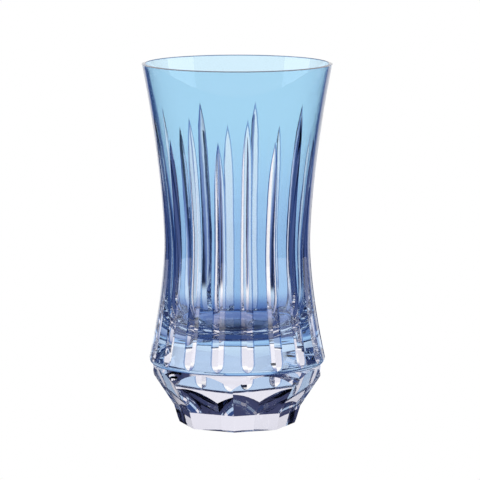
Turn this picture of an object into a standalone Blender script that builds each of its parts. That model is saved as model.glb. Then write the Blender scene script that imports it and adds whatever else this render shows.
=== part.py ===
"""Cut crystal vase: a clear blown bowl cased outside in blue, standing on a clear octagonal cut foot.

Metres, +Z up, origin at the middle of the face the vase stands on. The three pieces of glass are fused
in the real vase. Here each is its own closed solid, with WELD_GAP between neighbours.
"""

import math

import bmesh
import bpy

# ---- Overall form -------------------------------------------------------------------------------
HEIGHT = 0.250  # standing face to rim
RIM_RADIUS = 0.0655
WAIST_RADIUS = 0.0503
WAIST_HEIGHT = 0.125
SHOULDER_RADIUS = 0.0616  # where the side's sweep would meet the foot's top, before the corner is rounded
SWEEP_POWER = 1.62  # how slowly the side leaves the waist
SHOULDER_ROUND = 0.004  # radius of the rounded shoulder corner
SHOULDER_TURN = math.radians(60)  # how far the rounded corner turns under, from upright

# ---- Glass thicknesses --------------------------------------------------------------------------
CASING = 0.0004  # blue layer
WELD_GAP = 0.0003  # between fused neighbours
RIM_WALL = 0.0026  # bowl wall at the rim, casing included
FLOOR_WALL = 0.0075  # bowl wall beside the cavity floor, casing included
WALL_POWER = 2.4  # how late the wall thickens on the way down
BOWL_FLOOR = 0.0188  # solid glass between the foot and the cavity floor
FLOOR_ROUND = 0.024  # how far in from the wall the floor's rounding reaches
FLOOR_RISE = 0.040  # how far above the floor the rounding starts
FLOOR_POWER = 2 / 3  # below 1, the rounding leaves the wall softly
RIM_EDGE = 0.0004  # fire-polished edge at the rim

# ---- Cut foot -----------------------------------------------------------------------------------
FOOT_HEIGHT = 0.0424
FACETS = 8
FOOT_INSET = 0.0001  # foot's top edge inside the casing's lower edge
BAND_TAPER = 0.0010  # how much the turned band narrows from the foot's top to the facet tips
BAND_HEIGHT = 0.0094  # foot's top to the lowest point of the turned band
FACET_DROP = 0.0009  # foot's top to the highest point of each long facet
FACET_LEAN = 0.612  # how far a long facet leans in for each unit it goes down
BELT_HEIGHT = 0.012  # standing face to the top of the belt of short facets
BELT_TAPER = 0.0025  # how much the belt narrows on the way down
TOE_HEIGHT = 0.003  # bevel between belt and standing face
TOE_TAPER = 0.0012
FORM_RISE = 0.01  # how far the facets' planes are carried on above the foot, to cut it through
HOLLOW_RADIUS = 0.025  # polished hollow under the foot
HOLLOW_DEPTH = 0.002

# ---- Flutes cut through the casing --------------------------------------------------------------
FLUTE_PAIRS = 9  # one long and one short flute in each pair
LONG_TIP_DROP = 0.0325  # rim to the tips of the long flutes
SHORT_TIP_DROP = 0.0485
FLUTE_END_RISE = 0.0021  # foot's top to the lower ends of the flutes
FLUTE_TOP_DEPTH = 0.0015
FLUTE_END_DEPTH = 0.0022
FLUTE_SLOPE = math.radians(24)  # flute sides against the wall's surface
FLUTE_RUN_IN = 0.045  # length over which the tip reaches full depth
FLUTE_RUN_OUT = 0.007  # length of the rounded lower end
CUTTER_PROUD = 0.0005  # how far a cutter stands out of the glass

# ---- Mesh fineness ------------------------------------------------------------------------------
TURN_STEPS = 60
FOOT_STEPS = 64
SIDE_ROWS = 10
ROUND_ROWS = 3
FLOOR_ROWS = 6
HOLLOW_ROWS = 3
FLUTE_ROWS = 7
END_ROWS = 3
MERGE = 0.00001

FLOOR_HEIGHT = FOOT_HEIGHT + BOWL_FLOOR
FLUTE_END_HEIGHT = FOOT_HEIGHT + FLUTE_END_RISE

CRYSTAL = {"color": (0.93, 0.93, 0.97, 1.0), "roughness": 0.02, "metallic": 0.0}
BLUE_GLASS = {"color": (0.34, 0.64, 0.86, 1.0), "roughness": 0.02, "metallic": 0.0}


def clear_scene():
    for old in list(bpy.data.objects):
        bpy.data.objects.remove(old, do_unlink=True)


def new_collection(name):
    made = bpy.data.collections.new(name)
    bpy.context.scene.collection.children.link(made)
    return made


def glass(name, look):
    made = bpy.data.materials.new(name)
    made.use_nodes = True
    shader = made.node_tree.nodes["Principled BSDF"]
    shader.inputs["Base Color"].default_value = look["color"]
    shader.inputs["Roughness"].default_value = look["roughness"]
    shader.inputs["Metallic"].default_value = look["metallic"]
    return made


# ---- Outlines, as (radius, height) pairs --------------------------------------------------------
def side_radius(height):
    """Outer radius of the swept side: it flares from the waist up to the rim and down to the shoulder."""
    if height >= WAIST_HEIGHT:
        share = (height - WAIST_HEIGHT) / (HEIGHT - WAIST_HEIGHT)
        return WAIST_RADIUS + (RIM_RADIUS - WAIST_RADIUS) * share**SWEEP_POWER
    share = (WAIST_HEIGHT - height) / (WAIST_HEIGHT - FOOT_HEIGHT)
    return WAIST_RADIUS + (SHOULDER_RADIUS - WAIST_RADIUS) * share**SWEEP_POWER


def side_lean(height):
    """Angle of the side from upright, positive where it widens downwards."""
    step = 0.0001
    return math.atan((side_radius(height - step) - side_radius(height + step)) / (2 * step))


def shoulder_top():
    """Height where the rounded shoulder corner starts."""
    lean = side_lean(FOOT_HEIGHT + SHOULDER_ROUND)
    return FOOT_HEIGHT + WELD_GAP + SHOULDER_ROUND * (math.sin(lean) + math.sin(SHOULDER_TURN))


def outer_outline():
    """The casing's outside, from the rim down to its lower edge."""
    top = shoulder_top()
    lean = side_lean(top)
    points = []
    for row in range(SIDE_ROWS + 1):
        height = HEIGHT + (top - HEIGHT) * row / SIDE_ROWS
        points.append((side_radius(height), height))
    centre_radius = side_radius(top) - SHOULDER_ROUND * math.cos(lean)
    centre_height = top - SHOULDER_ROUND * math.sin(lean)
    for row in range(1, ROUND_ROWS + 1):
        angle = lean - (lean + SHOULDER_TURN) * row / ROUND_ROWS
        points.append(
            (
                centre_radius + SHOULDER_ROUND * math.cos(angle),
                centre_height + SHOULDER_ROUND * math.sin(angle),
            )
        )
    return points


def inset(points, distance):
    """The same outline moved towards the axis side by distance, square to itself. Its end heights stay."""
    moved = []
    last = len(points) - 1
    for i, (radius, height) in enumerate(points):
        before = points[max(i - 1, 0)]
        after = points[min(i + 1, last)]
        run = math.hypot(after[0] - before[0], after[1] - before[1])
        across = (before[1] - after[1]) / run
        along = (after[0] - before[0]) / run
        moved.append((radius - distance * across, height - distance * along))
    moved[0] = (moved[0][0], points[0][1])
    moved[last] = (moved[last][0], points[last][1])
    return moved


def cavity_radius(height):
    share = (HEIGHT - height) / (HEIGHT - FLOOR_HEIGHT)
    return side_radius(height) - RIM_WALL - (FLOOR_WALL - RIM_WALL) * share**WALL_POWER


def cavity_outline():
    """The cavity, from the axis over the floor and up the wall to the rim."""
    wall_foot = FLOOR_HEIGHT + FLOOR_RISE
    points = [(0.0, FLOOR_HEIGHT)]
    for row in range(FLOOR_ROWS + 1):
        angle = math.pi / 2 * (1 - row / FLOOR_ROWS)
        height = wall_foot - FLOOR_RISE * math.sin(angle) ** FLOOR_POWER
        points.append((cavity_radius(height) - FLOOR_ROUND * (1 - math.cos(angle)), height))
    for row in range(1, SIDE_ROWS + 1):
        height = wall_foot + (HEIGHT - wall_foot) * row / SIDE_ROWS
        points.append((cavity_radius(height), height))
    return points


# ---- Turned solids ------------------------------------------------------------------------------
def turned(name, points, collection, closed=False, steps=TURN_STEPS, smooth=True):
    """A solid turned about Z from an outline that runs down its outer side."""
    mesh = bpy.data.meshes.new(name)
    edges = [(i, i + 1) for i in range(len(points) - 1)]
    if closed:
        edges.append((len(points) - 1, 0))
    mesh.from_pydata([(radius, 0.0, height) for radius, height in points], edges, [])
    made = bpy.data.objects.new(name, mesh)
    collection.objects.link(made)
    screw = made.modifiers.new("turn", "SCREW")
    screw.steps = steps
    screw.render_steps = steps
    screw.use_merge_vertices = True
    screw.merge_threshold = MERGE
    screw.use_smooth_shade = smooth
    return made


def cut(target, tool, operation="DIFFERENCE"):
    boolean = target.modifiers.new("cut", "BOOLEAN")
    boolean.operation = operation
    boolean.solver = "EXACT"
    boolean.object = tool


def as_cutter(made):
    made.hide_render = True
    made.display_type = "WIRE"
    return made


# ---- Flute cutter -------------------------------------------------------------------------------
def flute_depth(height, tip_height):
    """Depth of a flute's crease under the outer surface. It is negative beyond the flute's ends."""
    share = (tip_height - height) / (tip_height - FLUTE_END_HEIGHT)
    full = FLUTE_TOP_DEPTH + (FLUTE_END_DEPTH - FLUTE_TOP_DEPTH) * share
    run_in = min((tip_height - height) / FLUTE_RUN_IN, 1.0)
    run_out = min((height - FLUTE_END_HEIGHT) / FLUTE_RUN_OUT, 1.0)
    if run_out < 0:
        return -CUTTER_PROUD
    return full * (1 - (1 - run_in) ** 3) * math.sqrt(1 - (1 - run_out) ** 2)


def flute_heights(tip_height):
    """Heights of a flute's sections, closer together in its rounded lower end."""
    above_tip = tip_height + CUTTER_PROUD * FLUTE_RUN_IN / (3 * FLUTE_TOP_DEPTH)
    end_top = FLUTE_END_HEIGHT + FLUTE_RUN_OUT
    rows = [above_tip + (end_top - above_tip) * row / FLUTE_ROWS for row in range(FLUTE_ROWS + 1)]
    for row in range(1, END_ROWS + 1):
        angle = math.pi / 2 * row / END_ROWS
        rows.append(FLUTE_END_HEIGHT + FLUTE_RUN_OUT * (1 - math.sin(angle)))
    rows.append(FLUTE_END_HEIGHT - CUTTER_PROUD / 2)
    return rows


def add_flute(tool, tip_height, turn):
    """A loft of level triangles whose sizes follow the flute's depth, added to the bmesh at angle turn."""
    sections = []
    for height in flute_heights(tip_height):
        outside = side_radius(max(height, shoulder_top())) + CUTTER_PROUD
        depth = flute_depth(height, tip_height) + CUTTER_PROUD
        depth = max(depth, MERGE)
        half_width = depth / math.tan(FLUTE_SLOPE)
        corners = ((outside - depth, 0.0), (outside, half_width), (outside, -half_width))
        ring = []
        for along, across in corners:
            x = along * math.cos(turn) - across * math.sin(turn)
            y = along * math.sin(turn) + across * math.cos(turn)
            ring.append(tool.verts.new((x, y, height)))
        sections.append(ring)
    for upper, lower in zip(sections, sections[1:]):
        for i in range(3):
            j = (i + 1) % 3
            tool.faces.new((upper[i], lower[i], lower[j], upper[j]))
    tool.faces.new(sections[0])
    tool.faces.new(reversed(sections[-1]))


def flute_cutter(collection):
    """All the flutes as one cutter. A stave, not a flute, faces the front (-Y)."""
    pitch = math.pi / FLUTE_PAIRS
    tool = bmesh.new()
    for pair in range(FLUTE_PAIRS):
        long_turn = -math.pi / 2 + (2 * pair + 0.5) * pitch
        add_flute(tool, HEIGHT - LONG_TIP_DROP, long_turn)
        add_flute(tool, HEIGHT - SHORT_TIP_DROP, long_turn + pitch)
    bmesh.ops.recalc_face_normals(tool, faces=tool.faces)
    mesh = bpy.data.meshes.new("flute_cutter")
    tool.to_mesh(mesh)
    tool.free()
    made = bpy.data.objects.new("flute_cutter", mesh)
    collection.objects.link(made)
    return as_cutter(made)


# ---- The three pieces ---------------------------------------------------------------------------
def blue_casing(collection, flutes):
    outside = outer_outline()
    inside = inset(outside, CASING)
    outside[0] = (outside[0][0], HEIGHT - RIM_EDGE)
    points = [inside[0], (outside[0][0] - RIM_EDGE, HEIGHT)] + outside + inside[:0:-1]
    made = turned("blue_casing", points, collection, closed=True)
    cut(made, flutes)
    return made


def crystal_bowl(collection, flutes):
    outside = inset(outer_outline(), CASING + WELD_GAP)
    cavity = cavity_outline()
    cavity[-1] = (cavity[-1][0], HEIGHT - RIM_EDGE)
    rim = [(cavity[-1][0] + RIM_EDGE, HEIGHT)]
    foot_centre = [(0.0, FOOT_HEIGHT + WELD_GAP)]
    made = turned("crystal_bowl", cavity + rim + outside + foot_centre, collection)
    cut(made, flutes)
    return made


def foot_top_radius():
    return outer_outline()[-1][0] - FOOT_INSET


def foot_blank_outline():
    """The foot as turned: band, straight body and the hollow underneath."""
    radius = foot_top_radius()
    band_radius = radius - BAND_TAPER
    band_end = FOOT_HEIGHT - BAND_HEIGHT
    points = [(0.0, FOOT_HEIGHT), (radius, FOOT_HEIGHT), (band_radius, band_end), (band_radius, 0.0)]
    for row in range(HOLLOW_ROWS + 1):
        share = 1 - row / HOLLOW_ROWS
        points.append((HOLLOW_RADIUS * share, HOLLOW_DEPTH * (1 - share**2)))
    return points


def facet_outline():
    """Distance of the flat facets from the axis, from above the foot down to the standing face."""
    radius = foot_top_radius()
    facet_top = FOOT_HEIGHT - FACET_DROP
    top_radius = radius - BAND_TAPER * FACET_DROP / BAND_HEIGHT
    belt_radius = top_radius - FACET_LEAN * (facet_top - BELT_HEIGHT)
    toe_radius = belt_radius - BELT_TAPER
    return [
        (0.0, facet_top + FORM_RISE),
        (top_radius + FACET_LEAN * FORM_RISE, facet_top + FORM_RISE),
        (belt_radius, BELT_HEIGHT),
        (toe_radius, TOE_HEIGHT),
        (toe_radius - TOE_TAPER, 0.0),
        (0.0, 0.0),
    ]


def cut_foot(collection, cutters):
    """The turned blank kept only where it is inside an eight-sided form with a corner to the front.

    The blank is turned half a step, so that none of its edges runs along a corner of the form.
    """
    made = turned("cut_foot", foot_blank_outline(), collection, steps=FOOT_STEPS)
    made.rotation_euler.z = math.pi / FOOT_STEPS
    corner = 1 / math.cos(math.pi / FACETS)
    points = [(radius * corner, height) for radius, height in facet_outline()]
    points[-1] = (0.0, -WELD_GAP)
    points[-2] = (points[-2][0], -WELD_GAP)
    form = turned("facet_form", points, cutters, steps=FACETS, smooth=False)
    form.rotation_euler.z = -math.pi / 2
    cut(made, as_cutter(form), "INTERSECT")
    return made


def main():
    clear_scene()
    pieces = new_collection("cut_crystal_vase")
    cutters = new_collection("cutters")
    crystal = glass("crystal", CRYSTAL)
    blue = glass("blue_glass", BLUE_GLASS)
    flutes = flute_cutter(cutters)
    crystal_bowl(pieces, flutes).data.materials.append(crystal)
    blue_casing(pieces, flutes).data.materials.append(blue)
    cut_foot(pieces, cutters).data.materials.append(crystal)


main()
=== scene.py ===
import math
from collections import namedtuple

import bmesh
import bpy
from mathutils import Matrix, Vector

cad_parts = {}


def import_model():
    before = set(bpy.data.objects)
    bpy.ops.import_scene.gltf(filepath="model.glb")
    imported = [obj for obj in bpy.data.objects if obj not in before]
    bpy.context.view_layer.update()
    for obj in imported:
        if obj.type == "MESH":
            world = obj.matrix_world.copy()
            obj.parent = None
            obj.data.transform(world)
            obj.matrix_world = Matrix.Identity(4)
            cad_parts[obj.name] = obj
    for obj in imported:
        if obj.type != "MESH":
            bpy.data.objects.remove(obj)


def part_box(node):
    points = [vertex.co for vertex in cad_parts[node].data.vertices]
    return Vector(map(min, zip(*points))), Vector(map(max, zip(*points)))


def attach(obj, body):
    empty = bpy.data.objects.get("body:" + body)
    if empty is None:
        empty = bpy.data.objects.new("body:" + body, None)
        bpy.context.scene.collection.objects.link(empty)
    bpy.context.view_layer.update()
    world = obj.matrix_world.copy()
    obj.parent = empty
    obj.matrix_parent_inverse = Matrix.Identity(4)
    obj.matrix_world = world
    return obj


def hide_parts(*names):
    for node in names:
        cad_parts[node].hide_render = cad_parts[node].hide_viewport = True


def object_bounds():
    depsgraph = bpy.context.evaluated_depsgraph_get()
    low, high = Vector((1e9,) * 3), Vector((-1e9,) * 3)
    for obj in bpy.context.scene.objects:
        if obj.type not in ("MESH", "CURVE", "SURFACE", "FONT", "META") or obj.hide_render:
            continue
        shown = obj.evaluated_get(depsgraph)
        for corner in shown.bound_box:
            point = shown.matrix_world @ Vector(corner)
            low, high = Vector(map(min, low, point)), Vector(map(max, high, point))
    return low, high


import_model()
cad_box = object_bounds()

# ---- Form, in metres ----------------------------------------------------------------------------
HEIGHT = cad_box[1].z
RIM_RADIUS = cad_box[1].x
WAIST_RADIUS = 0.0503
WAIST_HEIGHT = HEIGHT / 2
FOOT_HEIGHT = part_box("cut_foot")[1].z
SHOULDER_RADIUS = 0.0616
SWEEP_POWER = 1.62
SHOULDER_ROUND = 0.004
SHOULDER_TURN = math.radians(60)

CASING = 0.0004
BOND = 0.00001  # between the surfaces of two fused gathers
RIM_WALL = 0.0026
FLOOR_WALL = 0.0075
WALL_POWER = 2.4
FLOOR_HEIGHT = 0.0612
FLOOR_ROUND = 0.024  # how far in the floor's rounding reaches
FLOOR_RISE = 0.040  # how far up the wall it starts
FLOOR_POWER = 2 / 3  # below 1, the rounding leaves the wall softly
FLOOR_ROWS = 32
RIM_EDGE = 0.0005
RIM_ROWS = 6

FACETS = 8
BAND_TAPER = 0.0010
BAND_HEIGHT = 0.0094
FACET_DROP = 0.0009
FACET_LEAN = 0.612
BELT_HEIGHT = 0.012
BELT_TAPER = 0.0025
TOE_HEIGHT = 0.003
TOE_TAPER = 0.0012
HOLLOW_RADIUS = 0.025
HOLLOW_DEPTH = 0.002
HOLLOW_ROWS = 12
FOOT_STEPS = 256
FORM_SPARE = 0.01  # how far the facets' form stands over the facets
FORM_BELOW = 0.0003  # and below the foot
FOOT_INSET = CASING * 0.2  # the foot is ground a little inside the casing's lower edge

FLUTE_PAIRS = 9
LONG_TIP = 0.2175
SHORT_TIP = 0.2015
FLUTE_END = 0.0445
FLUTE_TOP_DEPTH = 0.0015
FLUTE_END_DEPTH = 0.0022
FLUTE_SLOPE = math.radians(24)
FLUTE_RUN_IN = 0.045
FLUTE_RUN_OUT = 0.007
LEAST_CUT = 0.00002  # a flute opens the casing once it is this much deeper

STAVE_STEPS = 10  # columns from one flute to the next
ROW_STEP = 0.0012
END_ROW_STEP = 0.0004
EDGE_ANGLE = math.radians(12)  # sharper folds than this are cut edges

SAME_POINT = 1e-7  # corners closer than this are one corner of a face
FACE_WELD = 2e-6  # joins neighbouring faces, and is less than the bond
SEAM_WELD = 1e-6  # closes a turned piece
LEAN_STEP = 0.0001
TOP_SPARE = 0.00001  # how far below its top a face still counts as the foot's top


# ---- Outlines -----------------------------------------------------------------------------------
def side_radius(height):
    if height >= WAIST_HEIGHT:
        share = (height - WAIST_HEIGHT) / (HEIGHT - WAIST_HEIGHT)
        return WAIST_RADIUS + (RIM_RADIUS - WAIST_RADIUS) * share**SWEEP_POWER
    share = (WAIST_HEIGHT - height) / (WAIST_HEIGHT - FOOT_HEIGHT)
    return WAIST_RADIUS + (SHOULDER_RADIUS - WAIST_RADIUS) * share**SWEEP_POWER


def side_lean(height):
    """How far the wall's normal rises from level, as an angle."""
    fall = side_radius(height - LEAN_STEP) - side_radius(height + LEAN_STEP)
    return math.atan(fall / (2 * LEAN_STEP))


def cavity_radius(height):
    share = (HEIGHT - height) / (HEIGHT - FLOOR_HEIGHT)
    return side_radius(height) - RIM_WALL - (FLOOR_WALL - RIM_WALL) * share**WALL_POWER


def outline():
    """The casing's outside from rim to lower edge, as (radius, height, lean of the normal)."""
    lean = side_lean(FOOT_HEIGHT + SHOULDER_ROUND)
    top = FOOT_HEIGHT + SHOULDER_ROUND * (math.sin(lean) + math.sin(SHOULDER_TURN))
    lean = side_lean(top)
    dense_below = FLUTE_END + FLUTE_RUN_OUT
    points = [(side_radius(HEIGHT - RIM_EDGE), HEIGHT - RIM_EDGE, side_lean(HEIGHT - RIM_EDGE))]
    while points[-1][1] > top:
        height = points[-1][1]
        height = max(height - (ROW_STEP if height > dense_below else END_ROW_STEP), top)
        points.append((side_radius(height), height, side_lean(height)))
    centre_radius = points[-1][0] - SHOULDER_ROUND * math.cos(lean)
    centre_height = top - SHOULDER_ROUND * math.sin(lean)
    turns = math.ceil(SHOULDER_ROUND * (lean + SHOULDER_TURN) / END_ROW_STEP)
    for turn in range(1, turns + 1):
        angle = lean - (lean + SHOULDER_TURN) * turn / turns
        points.append(
            (
                centre_radius + SHOULDER_ROUND * math.cos(angle),
                centre_height + SHOULDER_ROUND * math.sin(angle),
                angle,
            )
        )
    return points


# ---- Flutes -------------------------------------------------------------------------------------
class Flute:
    def __init__(self, turn, tip):
        self.turn = turn
        self.tip = tip

    def depth(self, height):
        """Depth of the crease, square to the surface. It is 0 above the tip and below the end."""
        share = (self.tip - height) / (self.tip - FLUTE_END)
        if not 0 < share < 1:
            return 0.0
        full = FLUTE_TOP_DEPTH + (FLUTE_END_DEPTH - FLUTE_TOP_DEPTH) * share
        run_in = min((self.tip - height) / FLUTE_RUN_IN, 1.0)
        run_out = min((height - FLUTE_END) / FLUTE_RUN_OUT, 1.0)
        return full * (1 - (1 - run_in) ** 3) * math.sqrt(1 - (1 - run_out) ** 2)


def flutes():
    """Every flute, in order round the vase. A stave, not a flute, faces the front."""
    pitch = math.pi / FLUTE_PAIRS
    made = []
    for pair in range(FLUTE_PAIRS):
        turn = -math.pi / 2 + (2 * pair + 0.5) * pitch
        made.append(Flute(turn, LONG_TIP))
        made.append(Flute(turn + pitch, SHORT_TIP))
    return made


CUTS = flutes()


def around(radius, height, turn):
    return Vector((radius * math.cos(turn), radius * math.sin(turn), height))


def half_turn(depth, radius):
    """Half the angle that a flute of this depth takes up round the wall."""
    return math.asin(min(depth / math.tan(FLUTE_SLOPE) / radius, 1.0))


Outer = namedtuple("Outer", "left crease right edge skin")
Inner = namedtuple("Inner", "left mid right skin")


class FlutedRow:
    """One level of the fluted wall. At each flute it has the points of its cut, and the skin of the stave
    that follows, on the outer surface and on a surface that lies under it."""

    def __init__(self, point, cuts, under):
        radius, height, lean = point
        rise = math.sin(lean)
        inward = math.cos(lean)
        low_radius = radius - under * inward
        low_height = height - under * rise
        self.outer = []
        self.inner = []
        self.open = []
        for k, flute in enumerate(cuts):
            depth = flute.depth(height)
            half = half_turn(depth, radius)
            crease = around(radius - depth * inward, height - depth * rise, flute.turn)
            left = around(radius, height, flute.turn - half)
            right = around(radius, height, flute.turn + half)
            through = depth > under + LEAST_CUT
            share = under / depth if through else 1.0
            deep_left = left.lerp(crease, share)
            deep_right = right.lerp(crease, share)
            follow = cuts[(k + 1) % len(cuts)]
            start = flute.turn + half
            end = follow.turn - half_turn(follow.depth(height), radius)
            if k == len(cuts) - 1:
                end += 2 * math.pi
            turns = [start + (end - start) * i / STAVE_STEPS for i in range(STAVE_STEPS + 1)]
            skin = [around(radius, height, turn) for turn in turns]
            low = [around(low_radius, low_height, turn) for turn in turns]
            mid = around(low_radius, low_height, flute.turn)
            self.open.append(through)
            self.outer.append(Outer(deep_left, crease, deep_right, left, skin))
            if not through:
                deep_left = deep_right = mid
            self.inner.append(Inner(deep_left, mid, deep_right, low))


def ring(parts):
    """The skin all round at a level that no flute cuts, each point once."""
    return [point for part in parts for point in part.skin[:-1]]


# ---- Pieces -------------------------------------------------------------------------------------
POLISHED = 0
BONDED = 1
CUT_EDGE = 2  # the blue layer's thickness, bared by a flute
RIM = 3  # the rim's polished top


class Builder:
    """Collects faces of one piece, each with its finish, and joins the points that coincide."""

    def __init__(self):
        self.mesh = bmesh.new()

    def face(self, points, finish=POLISHED):
        kept = []
        for point in points:
            if all((point - other).length > SAME_POINT for other in kept):
                kept.append(point)
        if len(kept) > 2:
            made = self.mesh.faces.new([self.mesh.verts.new(point) for point in kept])
            made.material_index = finish
            made.smooth = True

    def strip(self, upper, lower, finish=POLISHED, flip=False):
        for i in range(len(upper) - 1):
            points = [upper[i], lower[i], lower[i + 1], upper[i + 1]]
            self.face(points[::-1] if flip else points, finish)

    def disc(self, edge, centre, finish=POLISHED, flip=False):
        for a, b in zip(edge, edge[1:] + edge[:1]):
            self.face([a, centre, b] if flip else [a, b, centre], finish)

    def piece(self, name, finishes):
        bmesh.ops.remove_doubles(self.mesh, verts=self.mesh.verts, dist=FACE_WELD)
        mesh = bpy.data.meshes.new(name)
        self.mesh.to_mesh(mesh)
        self.mesh.free()
        for finish in finishes:
            mesh.materials.append(finish)
        mesh.set_sharp_from_angle(angle=EDGE_ANGLE)
        made = bpy.data.objects.new(name, mesh)
        bpy.context.scene.collection.objects.link(made)
        return made


def blue_casing(finishes):
    rows = [FlutedRow(point, CUTS, CASING) for point in outline()]
    made = Builder()
    for upper, lower in zip(rows, rows[1:]):
        for k in range(len(CUTS)):
            previous = (k - 1) % len(CUTS)
            # u and l are points on the upper and the lower row, iu and il those on the inner surface
            u_left, u_crease, u_right, u_edge, u_skin = upper.outer[k]
            l_left, l_crease, l_right, l_edge, l_skin = lower.outer[k]
            iu_left, iu_mid, iu_right, iu_low = upper.inner[k]
            il_left, il_mid, il_right, il_low = lower.inner[k]
            made.strip(u_skin, l_skin)
            if not upper.open[k]:
                u_left = u_right = u_crease
            if not lower.open[k]:
                l_left = l_right = l_crease
            made.strip([u_edge, u_left], [l_edge, l_left], CUT_EDGE)
            made.strip([u_right, u_skin[0]], [l_right, l_skin[0]], CUT_EDGE)
            made.strip(iu_low, il_low, BONDED, True)
            made.strip([iu_right, iu_low[0]], [il_right, il_low[0]], BONDED, True)
            before_u = upper.inner[previous].skin[-1]
            before_l = lower.inner[previous].skin[-1]
            made.strip([before_u, iu_left], [before_l, il_left], BONDED, True)
            if upper.open[k] != lower.open[k]:
                shut, gap = (upper, lower) if lower.open[k] else (lower, upper)
                flip = gap is upper
                outer_tip = shut.outer[k].crease
                inner_tip = shut.inner[k].mid
                left, right = gap.outer[k].left, gap.outer[k].right
                made.face([outer_tip, right, left] if flip else [outer_tip, left, right])
                made.face([inner_tip, left, right] if flip else [inner_tip, right, left], BONDED)
    for row, flip, finish in ((rows[0], False, RIM), (rows[-1], True, BONDED)):
        outside = ring(row.outer)
        inside = ring(row.inner)
        made.strip(inside + inside[:1], outside + outside[:1], finish, flip)
    return made.piece("blue_casing_glass", finishes)


def crystal_bowl(finishes):
    under = CASING + BOND
    rows = [FlutedRow(point, CUTS, under) for point in outline()]
    made = Builder()
    for upper, lower in zip(rows, rows[1:]):
        for k in range(len(CUTS)):
            previous = (k - 1) % len(CUTS)
            iu_left, iu_mid, iu_right, iu_low = upper.inner[k]
            il_left, il_mid, il_right, il_low = lower.inner[k]
            made.strip(iu_low, il_low, BONDED)
            made.strip([iu_right, iu_low[0]], [il_right, il_low[0]], BONDED)
            before_u = upper.inner[previous].skin[-1]
            before_l = lower.inner[previous].skin[-1]
            made.strip([before_u, iu_left], [before_l, il_left], BONDED)
            u_mid = upper.outer[k].crease if upper.open[k] else iu_mid
            l_mid = lower.outer[k].crease if lower.open[k] else il_mid
            made.strip([iu_left, u_mid, iu_right], [il_left, l_mid, il_right])
    columns = len(CUTS) * STAVE_STEPS
    turns = [CUTS[0].turn + 2 * math.pi * i / columns for i in range(columns)]
    cavity = cavity_outline()
    rings = [[around(radius, height, turn) for turn in turns] for radius, height in cavity]
    for row, (upper, lower) in enumerate(zip(rings, rings[1:])):
        finish = RIM if row < RIM_ROWS else POLISHED
        made.strip(upper + upper[:1], lower + lower[:1], finish, True)
    made.disc(rings[-1], Vector((0, 0, FLOOR_HEIGHT)))
    outside = ring(rows[0].inner)
    made.strip(rings[0] + rings[0][:1], outside + outside[:1], RIM)
    made.disc(ring(rows[-1].inner), Vector((0, 0, FOOT_HEIGHT + BOND)), BONDED, True)
    return made.piece("crystal_bowl_glass", finishes)


def cavity_outline():
    """The cavity from the rim's rounded inner edge down the wall and over the floor's rounding."""
    wall_foot = FLOOR_HEIGHT + FLOOR_RISE
    points = []
    height = HEIGHT - RIM_EDGE
    inner = cavity_radius(height)
    for row in range(RIM_ROWS + 1):
        angle = math.pi / 2 * row / RIM_ROWS
        points.append((inner + RIM_EDGE * (1 - math.sin(angle)), height + RIM_EDGE * math.cos(angle)))
    while height > wall_foot:
        height = max(height - 2 * ROW_STEP, wall_foot)
        points.append((cavity_radius(height), height))
    for row in range(1, FLOOR_ROWS + 1):
        angle = math.pi / 2 * row / FLOOR_ROWS
        height = wall_foot - FLOOR_RISE * math.sin(angle) ** FLOOR_POWER
        points.append((cavity_radius(height) - FLOOR_ROUND * (1 - math.cos(angle)), height))
    return points


def turned(name, points, steps, smooth=True):
    mesh = bpy.data.meshes.new(name)
    mesh.from_pydata([(r, 0.0, z) for r, z in points], [(i, i + 1) for i in range(len(points) - 1)], [])
    made = bpy.data.objects.new(name, mesh)
    bpy.context.scene.collection.objects.link(made)
    screw = made.modifiers.new("turn", "SCREW")
    screw.steps = steps
    screw.render_steps = steps
    screw.use_merge_vertices = True
    screw.merge_threshold = SEAM_WELD
    screw.use_smooth_shade = smooth
    return made


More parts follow.
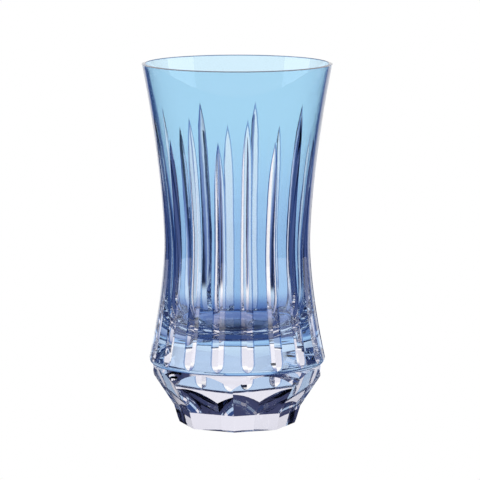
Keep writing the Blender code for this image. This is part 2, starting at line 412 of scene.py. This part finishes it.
def cut_foot(finishes):
    radius = outline()[-1][0] - FOOT_INSET
    band = radius - BAND_TAPER
    points = [(0.0, FOOT_HEIGHT), (radius, FOOT_HEIGHT), (band, FOOT_HEIGHT - BAND_HEIGHT), (band, 0.0)]
    for row in range(HOLLOW_ROWS + 1):
        share = 1 - row / HOLLOW_ROWS
        points.append((HOLLOW_RADIUS * share, HOLLOW_DEPTH * (1 - share**2)))
    made = turned("cut_foot_glass", points, FOOT_STEPS)
    made.rotation_euler.z = math.pi / FOOT_STEPS  # half a step, so its edges miss the form's corners
    facet_top = FOOT_HEIGHT - FACET_DROP
    top_radius = radius - BAND_TAPER * FACET_DROP / BAND_HEIGHT
    belt = top_radius - FACET_LEAN * (facet_top - BELT_HEIGHT)
    toe = belt - BELT_TAPER
    form_points = [
        (0.0, facet_top + FORM_SPARE),
        (top_radius + FACET_LEAN * FORM_SPARE, facet_top + FORM_SPARE),
        (belt, BELT_HEIGHT),
        (toe, TOE_HEIGHT),
        (toe - TOE_TAPER, -FORM_BELOW),
        (0.0, -FORM_BELOW),
    ]
    corner = 1 / math.cos(math.pi / FACETS)
    form = turned("facet_form", [(r * corner, z) for r, z in form_points], FACETS, smooth=False)
    form.rotation_euler.z = -math.pi / 2
    boolean = made.modifiers.new("facets", "BOOLEAN")
    boolean.operation = "INTERSECT"
    boolean.solver = "EXACT"
    boolean.object = form
    bpy.context.view_layer.update()
    shaped = bpy.data.meshes.new_from_object(made.evaluated_get(bpy.context.evaluated_depsgraph_get()))
    shaped.transform(made.matrix_world)
    made.modifiers.clear()
    made.rotation_euler.z = 0
    made.data = shaped
    bpy.data.objects.remove(form, do_unlink=True)
    shaped.materials.clear()
    for finish in finishes:
        shaped.materials.append(finish)
    shaped.shade_smooth()
    shaped.set_sharp_from_angle(angle=EDGE_ANGLE)
    for face in shaped.polygons:
        on_top = face.center.z > FOOT_HEIGHT - TOP_SPARE
        face.material_index = BONDED if on_top else POLISHED
    return made


# ---- Materials ----------------------------------------------------------------------------------
GLASS_IOR = 1.53
CORD_SIZE = 0.03  # faint streaks from the melt
WHEEL_SIZE = 0.006  # waviness that the cutting wheel leaves
WHEEL_STRETCH = 0.35  # below 1, the waves are longer up and down
WHEEL_RELIEF = 0.00002
POLISH_SIZE = 0.0018
POLISH_RELIEF = 0.000002
POLISH_GLOSS = 0.03  # roughness where the polish is least
CRYSTAL_HAZE = (0.45, 0.9)  # over these noise values the polish goes from best to least
BLUE_HAZE = (0.5, 0.9)
LAYER_SIZE = 0.035  # patches where the blown layer is thicker or thinner
LAYER_CHANGE = (0.25, 0.75)
SWELL_SIZE = 0.022  # long swells of the blown surface
SWELL_STRETCH = 0.5
SWELL_RELIEF = 0.00004
RIM_CLEAR = 0.4  # the share of light that the rim's top lets through
RIM_SHINE = 0.2  # below 0.5, it mirrors less than plain glass


def rgb(*color):
    return (*color, 1.0)


CRYSTAL_CORD = rgb(0.965, 0.958, 0.985)
CRYSTAL_CLEAR = rgb(0.985, 0.983, 0.992)
BLUE_RIM = rgb(0.385, 0.69, 0.895)  # after the layer is crossed twice
BLUE_WAIST = rgb(0.33, 0.57, 0.86)
BLUE_THICK = rgb(0.30, 0.53, 0.83)
EDGE_DEEP = rgb(0.10, 0.21, 0.48)
EDGE_PALE = rgb(0.15, 0.28, 0.56)
RIM_DEEP = rgb(0.07, 0.16, 0.42)
RIM_PALE = rgb(0.11, 0.22, 0.50)
WHITE = rgb(1, 1, 1)
BLACK = rgb(0, 0, 0)


class Value:
    """A number that varies, as a node's socket. Arithmetic on it adds Math nodes."""

    def __init__(self, shader, socket):
        self.shader = shader
        self.socket = socket

    def __add__(self, other):
        return self.shader.math("ADD", self, other)

    def __sub__(self, other):
        return self.shader.math("SUBTRACT", self, other)

    def __rsub__(self, other):
        return self.shader.math("SUBTRACT", other, self)

    def __mul__(self, other):
        return self.shader.math("MULTIPLY", self, other)

    def __truediv__(self, other):
        return self.shader.math("DIVIDE", self, other)

    def __pow__(self, other):
        return self.shader.math("POWER", self, other)

    __radd__ = __add__
    __rmul__ = __mul__

    def ramp(self, low, high):
        """0 up to low and 1 from high on, smooth between. It falls where low is above high."""
        if low > high:
            return 1 - self.ramp(high, low)
        settings = {"interpolation_type": "SMOOTHSTEP"}
        return self.shader.value("ShaderNodeMapRange", settings, (self, low, high, 0.0, 1.0))


class Shader:
    """The node tree of a material or a world, and the node that makes its surface."""

    def __init__(self, owner, surface):
        owner.use_nodes = True
        self.owner = owner
        self.tree = owner.node_tree
        self.surface = self.tree.nodes[surface]

    def node(self, kind, settings=None, sockets=()):
        """A node with its settings, then its sockets, given in order or by name."""
        made = self.tree.nodes.new(kind)
        for key, value in (settings or {}).items():
            setattr(made, key, value)
        named = sockets.items() if isinstance(sockets, dict) else enumerate(sockets)
        for key, value in named:
            self.put(made.inputs[key], value)
        return made

    def put(self, socket, value):
        value = value.socket if isinstance(value, Value) else value
        if isinstance(value, bpy.types.NodeSocket):
            self.tree.links.new(value, socket)
        else:
            socket.default_value = value

    def value(self, kind, settings=None, sockets=()):
        return Value(self, self.node(kind, settings, sockets).outputs[0])

    def math(self, operation, *terms):
        return self.value("ShaderNodeMath", {"operation": operation}, terms)

    def set(self, sockets):
        """Sets or links the surface's own sockets, by name."""
        for key, value in sockets.items():
            self.put(self.surface.inputs[key], value)

    def place(self, stretch=(1.0, 1.0, 1.0)):
        """The object's own coordinates in metres, times stretch."""
        place = self.node("ShaderNodeTexCoord").outputs["Object"]
        return self.node("ShaderNodeVectorMath", {"operation": "MULTIPLY"}, (place, stretch)).outputs[0]

    def noise(self, size, detail=1.0, stretch=(1.0, 1.0, 1.0)):
        """Smooth spots about size metres across, from 0 to 1."""
        sockets = {"Vector": self.place(stretch), "Scale": 1 / size, "Detail": detail}
        return self.value("ShaderNodeTexNoise", None, sockets)

    def bump(self, height):
        """A relief whose height is in metres."""
        sockets = {"Strength": 1.0, "Distance": 1.0, "Height": height}
        return self.node("ShaderNodeBump", None, sockets).outputs[0]

    def parts(self, vector):
        split = self.node("ShaderNodeSeparateXYZ", None, (vector,))
        return [Value(self, output) for output in split.outputs]

    def mix(self, factor, low, high):
        """A colour between two colours."""
        sockets = {0: factor, 6: low, 7: high}  # the colour mix's own factor, A and B
        return self.node("ShaderNodeMix", {"data_type": "RGBA"}, sockets).outputs[2]


def material(name):
    return Shader(bpy.data.materials.new(name), "Principled BSDF")


def glass(color, relief, gloss):
    """The sockets that every polished glass face shares."""
    return {
        "Base Color": color,
        "Roughness": gloss,
        "Normal": relief,
        "Transmission Weight": 1.0,
        "IOR": GLASS_IOR,
    }


def crystal_finish():
    """Clear lead crystal, cut by hand on a wheel and polished."""
    shader = material("crystal_polished")
    cords = shader.noise(CORD_SIZE, detail=2.0)
    color = shader.mix(cords, CRYSTAL_CORD, CRYSTAL_CLEAR)
    wheel = shader.noise(WHEEL_SIZE, stretch=(1.0, 1.0, WHEEL_STRETCH))
    polish = shader.noise(POLISH_SIZE)
    relief = shader.bump(wheel * WHEEL_RELIEF + polish * POLISH_RELIEF)
    gloss = polish.ramp(*CRYSTAL_HAZE) * POLISH_GLOSS
    shader.set(glass(color, relief, gloss))
    return shader.owner


def blue_finish():
    """The blue overlay, a little deeper in colour where the blown layer came out thicker."""
    shader = material("blue_glass_polished")
    height = shader.parts(shader.place())[2]
    layer = shader.noise(LAYER_SIZE, detail=2.0).ramp(*LAYER_CHANGE)
    low = shader.mix(layer, BLUE_THICK, BLUE_WAIST)
    color = shader.mix(height.ramp(WAIST_HEIGHT, LONG_TIP), low, BLUE_RIM)
    swell = shader.noise(SWELL_SIZE, stretch=(1.0, 1.0, SWELL_STRETCH))
    relief = shader.bump(swell * SWELL_RELIEF)
    gloss = shader.noise(POLISH_SIZE).ramp(*BLUE_HAZE) * POLISH_GLOSS
    shader.set(glass(color, relief, gloss))
    return shader.owner


def cut_edge_finish():
    """The blue layer's bared edge along a flute, seen along the layer, so deeper in colour."""
    shader = material("blue_glass_cut_edge")
    layer = shader.noise(LAYER_SIZE, detail=2.0)
    color = shader.mix(layer, EDGE_DEEP, EDGE_PALE)
    polish = shader.noise(POLISH_SIZE)
    shader.set(glass(color, shader.bump(polish * POLISH_RELIEF), polish * POLISH_GLOSS))
    return shader.owner


def rim_finish():
    """The rim's ground and polished top, which the blue layer beside it fills with its colour."""
    shader = material("rim_polished")
    layer = shader.noise(LAYER_SIZE, detail=2.0)
    color = shader.mix(layer, RIM_DEEP, RIM_PALE)
    polish = shader.noise(POLISH_SIZE)
    sockets = glass(color, shader.bump(polish * POLISH_RELIEF), polish * POLISH_GLOSS)
    sockets["Transmission Weight"] = RIM_CLEAR
    sockets["Specular IOR Level"] = RIM_SHINE
    shader.set(sockets)
    return shader.owner


def joint_finish():
    """Where two gathers are fused, light goes straight on. Nothing of this face shows."""
    shader = material("fused_joint")
    shader.set({"Base Color": WHITE, "Transmission Weight": 1.0, "IOR": 1.0, "Roughness": 0.0})
    return shader.owner


# ---- Studio -------------------------------------------------------------------------------------
LIT = rgb(1.12, 1.11, 1.10)  # the lit cloth that shows through the glass
DUSK = rgb(0.28, 0.34, 0.60)  # white cloth in half shade
NIGHT = rgb(0.012, 0.015, 0.036)  # dark gaps between the cloths, and the painted shadow right under the vase
ROOM = rgb(0.055, 0.062, 0.14)  # the dark room above the cloths
BOUNCE_SHADE = rgb(0.065, 0.10, 0.25)  # painted shade: the dark blue that the floor shows to light mirrored inside the glass
TENT = rgb(0.90, 0.89, 0.97)  # the cloth all round, above the floor
TENT_TOP = math.radians(24)
TENT_FADE = math.radians(3)
SIDES = 8  # lit cloths painted on the floor, with dark gaps between them
# a cloth is lit out to the first angle from its middle, in half shade at the second, and ends at the third
WALL_ENDS = (math.radians(28), math.radians(33), math.radians(38))
CLOTH_ENDS = (math.radians(17), math.radians(19), math.radians(21.5))
SHADOW_ENDS = (0.02, 0.06, 0.30)  # radii of the floor's painted shadow, from darkest under the vase out to lit floor
CLOTH_NEAR = (0.3, 0.45)  # radii over which the cloths begin
FLOOR_SIZE = 8
FLOOR_DROP = 0.0002  # the floor lies this far under the vase
SOFTBOX_TURN = math.radians(85)
SOFTBOX_RISE = math.radians(14)
SOFTBOX_DISTANCE = 1.2
SOFTBOX_WIDTH = 0.9
SOFTBOX_HEIGHT = 0.55
SOFTBOX_POWER = 2.5
LIGHT_BOUNCES = 32


def shaded(shader, amount, ends):
    """NIGHT up to the first end, DUSK at the second and LIT from the third."""
    dusk = shader.mix(amount.ramp(ends[0], ends[1]), NIGHT, DUSK)
    return shader.mix(amount.ramp(ends[1], ends[2]), dusk, LIT)


def fan(shader, x, y, sides, ends):
    """Lit round the middle of each side, from straight behind on, and dark between the sides."""
    turn = shader.math("ARCTAN2", x, y)
    angle = shader.math("ARCCOSINE", shader.math("COSINE", turn * sides)) / sides
    return shaded(shader, 0 - angle, [-end for end in reversed(ends)])


def as_seen(shader, x, y, color, deep):
    """White to the camera, the lit wall behind to light that the outside mirrors, color to light that
    came straight through the glass, and deep to light that was mirrored inside it too."""
    path = shader.node("ShaderNodeLightPath").outputs
    mirrored = Value(shader, path["Glossy Depth"]).ramp(0.0, 1.0)
    sent = Value(shader, path["Transmission Depth"]).ramp(0.0, 1.0)
    plain = shader.mix(mirrored * (1 - sent), color, fan(shader, x, y, 1, WALL_ENDS))
    bounced = shader.mix(mirrored * sent, plain, deep)
    return shader.mix(path["Is Camera Ray"], bounced, WHITE)


def world():
    made = bpy.data.worlds.new("studio")
    bpy.context.scene.world = made
    shader = Shader(made, "Background")
    x, y, z = shader.parts(shader.node("ShaderNodeTexCoord").outputs["Generated"])
    above = z.ramp(math.sin(TENT_TOP), math.sin(TENT_TOP + TENT_FADE))
    color = shader.mix(above, TENT, ROOM)
    shader.set({"Color": as_seen(shader, x, y, color, color), "Strength": 1.0})


def floor():
    bpy.ops.mesh.primitive_plane_add(size=FLOOR_SIZE, location=(0, 0, -FLOOR_DROP))
    made = bpy.context.object
    made.name = "floor"
    # The floor glows with painted light and is white to the camera. Light that came through the glass
    # finds a painted shadow under the vase and painted lit and shaded cloths further out.
    shader = material("floor_painted_light_and_shadow")
    x, y, z = shader.parts(shader.place())
    radius = (x * x + y * y) ** 0.5
    # the painted shadow of the vase, darkest right under it
    near = shaded(shader, radius, SHADOW_ENDS)
    far = fan(shader, x, y, SIDES, CLOTH_ENDS)
    seen = shader.mix(radius.ramp(*CLOTH_NEAR), near, far)
    # light mirrored inside the glass finds painted dark blue shade on the floor
    glow = as_seen(shader, x, y, seen, BOUNCE_SHADE)
    shader.set({"Base Color": BLACK, "Specular IOR Level": 0.0})
    shader.set({"Emission Color": glow, "Emission Strength": 1.0})
    made.data.materials.append(shader.owner)


def softbox(turn):
    """An area light at an angle round the vase from the front, turned to the vase."""
    lamp = bpy.data.lights.new("side_softbox", "AREA")
    lamp.shape = "RECTANGLE"
    lamp.size = SOFTBOX_WIDTH
    lamp.size_y = SOFTBOX_HEIGHT
    lamp.energy = SOFTBOX_POWER
    made = bpy.data.objects.new("side_softbox", lamp)
    bpy.context.scene.collection.objects.link(made)
    flat = SOFTBOX_DISTANCE * math.cos(SOFTBOX_RISE)
    rise = SOFTBOX_DISTANCE * math.sin(SOFTBOX_RISE)
    made.location = (flat * math.sin(turn), -flat * math.cos(turn), rise)
    away = Vector((0, 0, HEIGHT / 2)) - made.location
    made.rotation_euler = away.to_track_quat("-Z", "Y").to_euler()
    made.visible_camera = False
    made.visible_transmission = False


def studio():
    world()
    floor()
    for side in (-1, 1):
        softbox(side * SOFTBOX_TURN)
    bpy.context.scene.view_settings.view_transform = "Standard"
    cycles = bpy.context.scene.cycles
    cycles.max_bounces = LIGHT_BOUNCES
    cycles.transmission_bounces = LIGHT_BOUNCES
    cycles.glossy_bounces = LIGHT_BOUNCES


# ---- Camera -------------------------------------------------------------------------------------
CAMERA_DISTANCE = 2.6
CAMERA_HEIGHT = 0.487
CAMERA_TURN = math.radians(3)
AIM = Vector((0.002, 0.0, 0.1275))
FRAME_WIDTH = 0.331  # what the picture takes in at the vase
CAMERA_REACH = 50


def camera():
    lens = bpy.data.cameras.new("camera")
    made = bpy.data.objects.new("camera", lens)
    bpy.context.scene.collection.objects.link(made)
    made.location = (
        CAMERA_DISTANCE * math.sin(CAMERA_TURN),
        -CAMERA_DISTANCE * math.cos(CAMERA_TURN),
        CAMERA_HEIGHT,
    )
    away = AIM - made.location
    made.rotation_euler = away.to_track_quat("-Z", "Y").to_euler()
    lens.lens = lens.sensor_width * away.length / FRAME_WIDTH
    lens.clip_end = CAMERA_REACH
    bpy.context.scene.camera = made


def main():
    crystal = crystal_finish()
    blue = blue_finish()
    bond = joint_finish()
    edges = [cut_edge_finish(), rim_finish()]
    for piece, node, finish in (
        (blue_casing([blue, bond, *edges]), "blue_casing", "blue_glass"),
        (crystal_bowl([crystal, bond, *edges]), "crystal_bowl", "crystal"),
        (cut_foot([crystal, bond]), "cut_foot", "crystal"),
    ):
        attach(piece, "root")
        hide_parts(node)
    studio()
    camera()


main()
